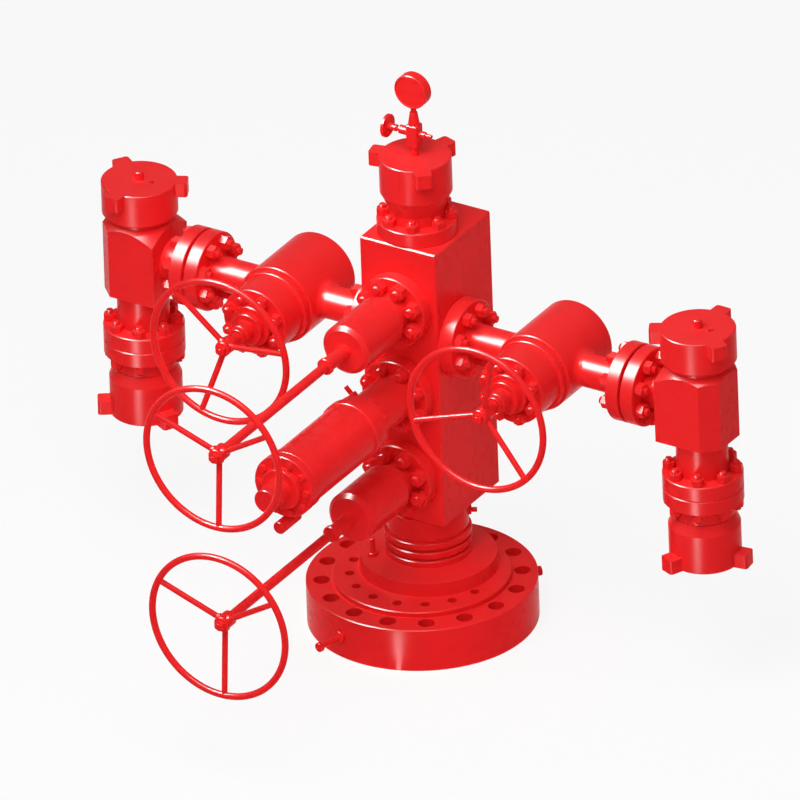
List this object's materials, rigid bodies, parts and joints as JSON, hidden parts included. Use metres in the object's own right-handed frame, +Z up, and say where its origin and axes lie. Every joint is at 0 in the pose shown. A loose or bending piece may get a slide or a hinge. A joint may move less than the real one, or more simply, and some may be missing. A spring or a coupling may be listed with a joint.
{
  "type": "gas wellhead valve stack",
  "caption": "Solid block christmas tree on a bolted tubing head flange, with hand-wheeled gate valves, an actuated master valve, two wing valves with tees, a cap and a gauge.",
  "frame": {"origin": "centre of the base flange's underside", "axes": "+Z up the tree, -Y to the front where the bonnets and handwheels point, X along the wings"},
  "size_m": [2.1019, 1.417, 1.716],
  "materials": {
    "red_paint": "gloss red paint"
  },
  "bodies": {
    "tree": {"actuator_bonnet": "red_paint", "actuator_cylinder": "red_paint", "actuator_end_cap": "red_paint", "actuator_port": "red_paint", "actuator_vent": "red_paint", "base_flange": "red_paint", "bleed_plug": "red_paint", "cap_nipple": "red_paint", "hub_fitting": "red_paint", "left_bearing_cap": "red_paint", "left_lower_sub": "red_paint", "left_tee_body": "red_paint", "left_tee_cap": "red_paint", "left_union_nut": "red_paint", "left_wing_body": "red_paint", "left_wing_bonnet": "red_paint", "master_bearing_cap": "red_paint", "master_bonnet": "red_paint", "neck_fitting": "red_paint", "needle_valve_body": "red_paint", "pressure_gauge": "red_paint", "right_bearing_cap": "red_paint", "right_lower_sub": "red_paint", "right_tee_body": "red_paint", "right_tee_cap": "red_paint", "right_union_nut": "red_paint", "right_wing_body": "red_paint", "right_wing_bonnet": "red_paint", "rim_plug_back": "red_paint", "rim_plug_front": "red_paint", "swab_bearing_cap": "red_paint", "swab_bonnet": "red_paint", "top_connector": "red_paint", "tree_cap": "red_paint", "tree_neck": "red_paint", "valve_block": "red_paint"},
    "swab_wheel": {"swab_stem": "red_paint", "swab_handwheel": "red_paint"},
    "master_wheel": {"master_stem": "red_paint", "master_handwheel": "red_paint"},
    "left_wing_wheel": {"left_wing_stem": "red_paint", "left_wing_handwheel": "red_paint"},
    "right_wing_wheel": {"right_wing_stem": "red_paint", "right_wing_handwheel": "red_paint"},
    "needle_handle": {"needle_valve_handle": "red_paint"}
  },
  "joints": [
    {"name": "swab_turn", "type": "hinge", "parent": "tree", "child": "swab_wheel", "pos_m": [0, -1.02, 1.02573], "axis": [0, -1, 0], "range_deg": [0, 4770]},
    {"name": "master_turn", "type": "hinge", "parent": "tree", "child": "master_wheel", "pos_m": [0, -1.02, 0.48894], "axis": [0, -1, 0], "range_deg": [0, 4770]},
    {"name": "left_wing_turn", "type": "hinge", "parent": "tree", "child": "left_wing_wheel", "pos_m": [-0.422, -0.294, 0.90915], "axis": [0, -1, 0], "range_deg": [0, 4770]},
    {"name": "right_wing_turn", "type": "hinge", "parent": "tree", "child": "right_wing_wheel", "pos_m": [0.422, -0.294, 0.90915], "axis": [0, -1, 0], "range_deg": [0, 4770]},
    {"name": "needle_turn", "type": "hinge", "parent": "tree", "child": "needle_handle", "pos_m": [-0.088, 0.04, 1.528], "axis": [-1, 0, 0], "range_deg": [0, 1170]}
  ]
}
